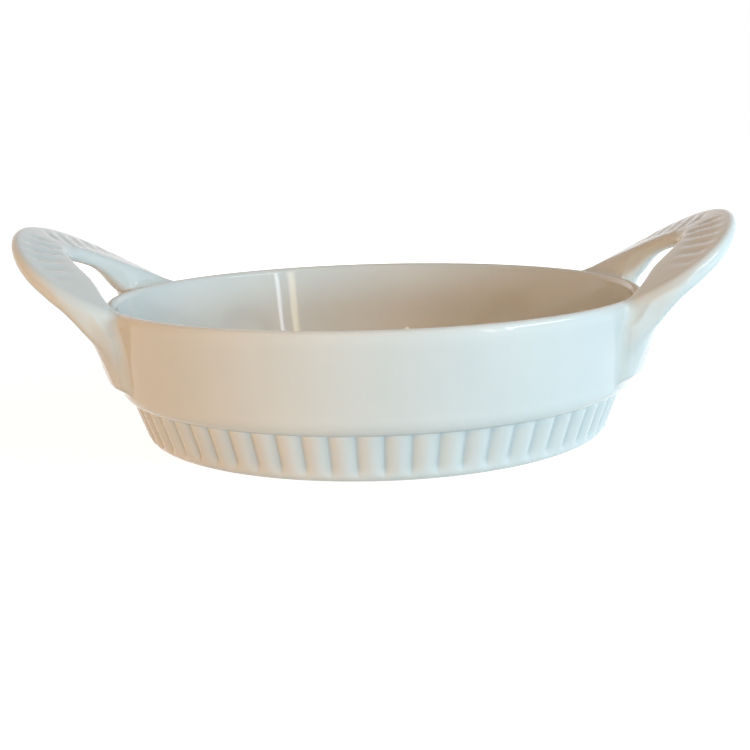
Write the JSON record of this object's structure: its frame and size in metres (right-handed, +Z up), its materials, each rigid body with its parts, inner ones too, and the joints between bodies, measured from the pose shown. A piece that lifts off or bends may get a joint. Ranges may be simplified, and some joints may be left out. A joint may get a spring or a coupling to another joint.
{
  "type": "creme brulee dish",
  "caption": "Round glazed porcelain baking dish with a plain wall band, a fluted lower band and pierced, tilted ear handles on legs, for baking and serving single portions.",
  "frame": {"origin": "centre of the foot ring, on the plane that the dish stands on", "axes": "+X through the two ear handles, +Z up out of the bowl"},
  "size_m": [0.1716, 0.1296, 0.0505],
  "materials": {
    "porcelain_glaze": "clear gloss glaze over white porcelain",
    "slip_seam": "fired slip under the same clear glaze"
  },
  "bodies": {
    "root": {"dish_body": "porcelain_glaze", "right_handle": "porcelain_glaze", "left_handle": "porcelain_glaze", "right_handle_front_slip": "slip_seam", "right_handle_rear_slip": "slip_seam", "left_handle_front_slip": "slip_seam", "left_handle_rear_slip": "slip_seam"}
  },
  "joints": []
}
